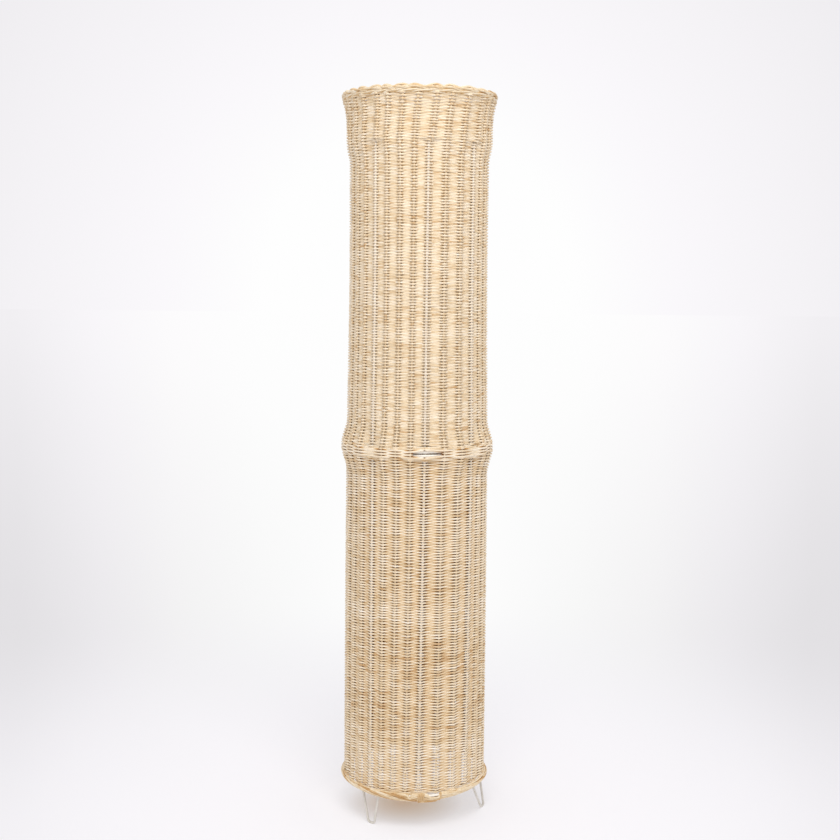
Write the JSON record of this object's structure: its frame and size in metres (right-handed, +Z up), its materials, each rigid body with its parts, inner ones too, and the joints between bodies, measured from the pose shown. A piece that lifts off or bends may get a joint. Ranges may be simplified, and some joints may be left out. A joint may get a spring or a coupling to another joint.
{
  "type": "floor lamp",
  "caption": "Tall floor lamp with a round woven rattan tube over a white wire frame, plaited rim, bulging middle joint and hairpin feet, lit by a bulb standing inside its base.",
  "frame": {"origin": "on the floor, under the axis of the lamp", "axes": "+Z up the axis; -Y is the front, the side that faces the viewer in the picture; +X to the viewer's right"},
  "size_m": [0.2555, 0.2555, 1.2],
  "materials": {
    "rattan_weave": "split rattan core strands, raw and unvarnished, satin to matt",
    "rattan_plait": "plaited rattan core strands, raw and unvarnished, satin to matt",
    "rattan_cane": "round rattan core, raw, satin",
    "white_frame_wire": "warm white powder coat on steel wire, low sheen",
    "zinc_plated_steel": "bright zinc plate",
    "white_plastic": "smooth white thermoset, low sheen",
    "porcelain": "unglazed white insulator",
    "brass_contact": "bright pressed brass",
    "bulb_cap_metal": "bright rolled screw cap",
    "opal_glass": "opal white, smooth, unlit"
  },
  "bodies": {
    "frame": {"woven_wall_lower": "rattan_weave", "woven_wall_upper": "rattan_weave", "plaited_rim": "rattan_plait", "bottom_border": "rattan_plait", "top_ring": "white_frame_wire", "middle_ring_upper": "white_frame_wire", "middle_ring_lower": "white_frame_wire", "bottom_ring": "white_frame_wire", "upright_1": "white_frame_wire", "upright_2": "white_frame_wire", "upright_3": "white_frame_wire", "upright_4": "white_frame_wire", "upright_5": "white_frame_wire", "upright_6": "white_frame_wire", "upright_7": "white_frame_wire", "upright_8": "white_frame_wire", "cane_1": "rattan_cane", "cane_2": "rattan_cane", "cane_3": "rattan_cane", "cane_4": "rattan_cane", "cane_5": "rattan_cane", "cane_6": "rattan_cane", "cane_7": "rattan_cane", "cane_8": "rattan_cane", "cane_9": "rattan_cane", "cane_10": "rattan_cane", "cane_11": "rattan_cane", "cane_12": "rattan_cane", "cane_13": "rattan_cane", "cane_14": "rattan_cane", "cane_15": "rattan_cane", "cane_16": "rattan_cane", "cane_17": "rattan_cane", "cane_18": "rattan_cane", "cane_19": "rattan_cane", "cane_20": "rattan_cane", "cane_21": "rattan_cane", "cane_22": "rattan_cane", "cane_23": "rattan_cane", "hairpin_foot_1": "white_frame_wire", "hairpin_foot_2": "white_frame_wire", "hairpin_foot_3": "white_frame_wire", "carrier_arm_1": "white_frame_wire", "carrier_arm_2": "white_frame_wire", "carrier_arm_3": "white_frame_wire", "carrier_hub": "white_frame_wire", "threaded_nipple": "zinc_plated_steel", "nipple_nut": "zinc_plated_steel", "cord_inlet_bush": "white_plastic", "holder_cap": "white_plastic", "holder_body": "white_plastic", "terminal_block": "porcelain", "terminal_screw_1": "brass_contact", "terminal_screw_2": "brass_contact", "screw_shell": "brass_contact", "centre_contact": "brass_contact"},
    "bulb_tip": {"bulb_tip_contact": "brass_contact"},
    "bulb": {"bulb_screw_cap": "bulb_cap_metal", "bulb_glass": "opal_glass"}
  },
  "joints": [
    {"name": "bulb_lift", "type": "slide", "parent": "frame", "child": "bulb_tip", "axis": [0, 0, 1], "range_m": [0, 0.01815]},
    {"name": "bulb_turn", "type": "hinge", "parent": "bulb_tip", "child": "bulb", "pos_m": [0, 0, 0.1], "axis": [0, 0, 1], "range_deg": [0, 1800]}
  ],
  "couplings": [
    {"joint": "bulb_lift", "follows": "bulb_turn", "m_per_rad": 0.0005775}
  ]
}
